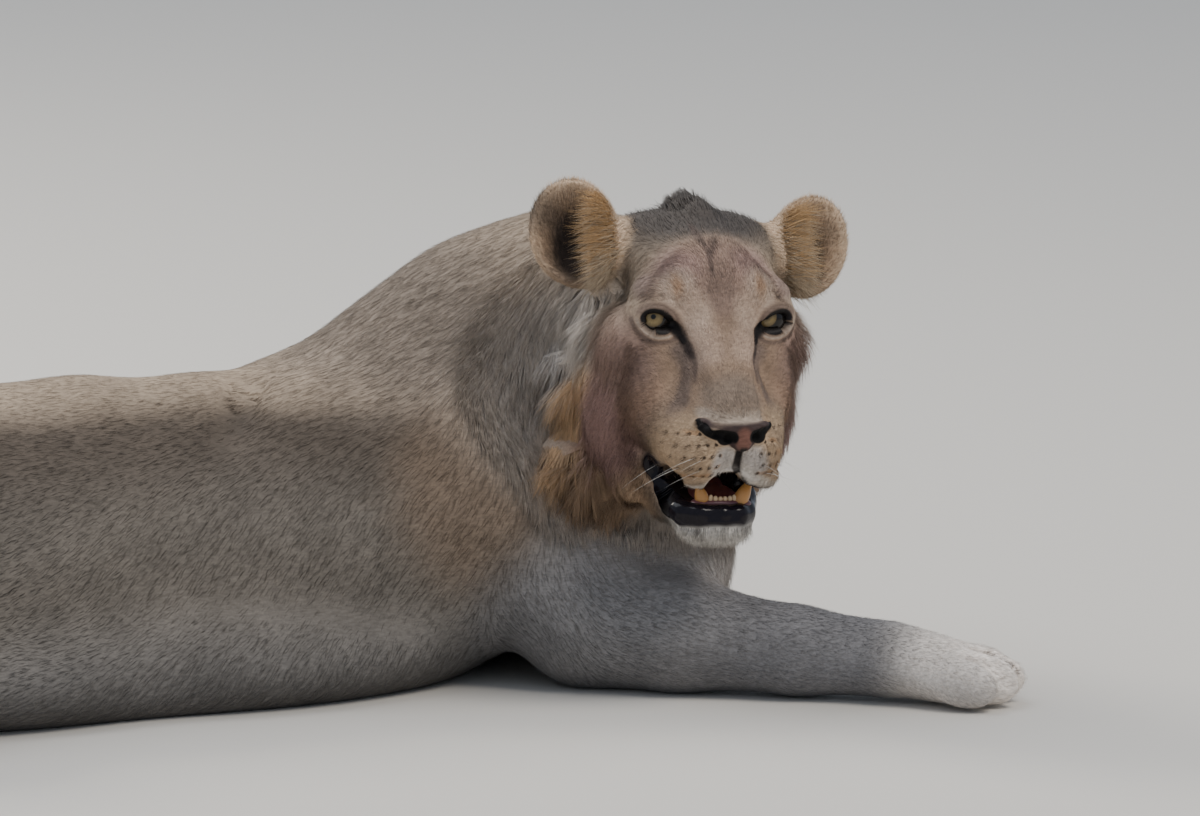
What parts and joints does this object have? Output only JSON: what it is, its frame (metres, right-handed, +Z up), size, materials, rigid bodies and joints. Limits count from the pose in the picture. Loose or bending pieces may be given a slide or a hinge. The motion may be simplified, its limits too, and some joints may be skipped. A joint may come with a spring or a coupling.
{
  "type": "lying lion model",
  "caption": "Young lion lying on its chest with its head turned aside and its mouth slightly open, a still museum-style model of the whole animal.",
  "frame": {"origin": "middle of the box around the whole model, on the floor it lies on", "axes": "+X along the trunk towards the chest, +Y to the animal's left, +Z up; the head looks towards -Y"},
  "size_m": [1.7236, 0.776, 0.5186],
  "materials": {
    "face_coat": "short dense coat, matt",
    "jaw_coat": "short pale coat with wet black lips, teeth and tongue",
    "ruff_coat": "longer loose hair, matt",
    "flank_coat": "short dense coat, matt",
    "back_coat": "short dense coat, matt",
    "leg_coat": "short dense coat, matt",
    "paw_coat": "short pale coat, matt",
    "ear_coat": "short coat with long pale hair inside",
    "tuft_coat": "long dark hair",
    "eye": "wet and glossy"
  },
  "bodies": {
    "root": {"belly": "flank_coat", "chest": "flank_coat", "ear_left": "ear_coat", "ear_right": "ear_coat", "eye_left": "eye", "eye_right": "eye", "forearm_right": "leg_coat", "foreleg_left": "leg_coat", "foreleg_right": "leg_coat", "forepaw_left": "paw_coat", "forepaw_right": "paw_coat", "head": "face_coat", "hindleg_left": "leg_coat", "hindleg_right": "leg_coat", "hindpaw_left": "paw_coat", "hindpaw_right": "paw_coat", "jaw": "jaw_coat", "neck": "ruff_coat", "rump": "back_coat", "tail_base": "back_coat", "tail_middle": "leg_coat", "tail_tuft": "tuft_coat"}
  },
  "joints": []
}
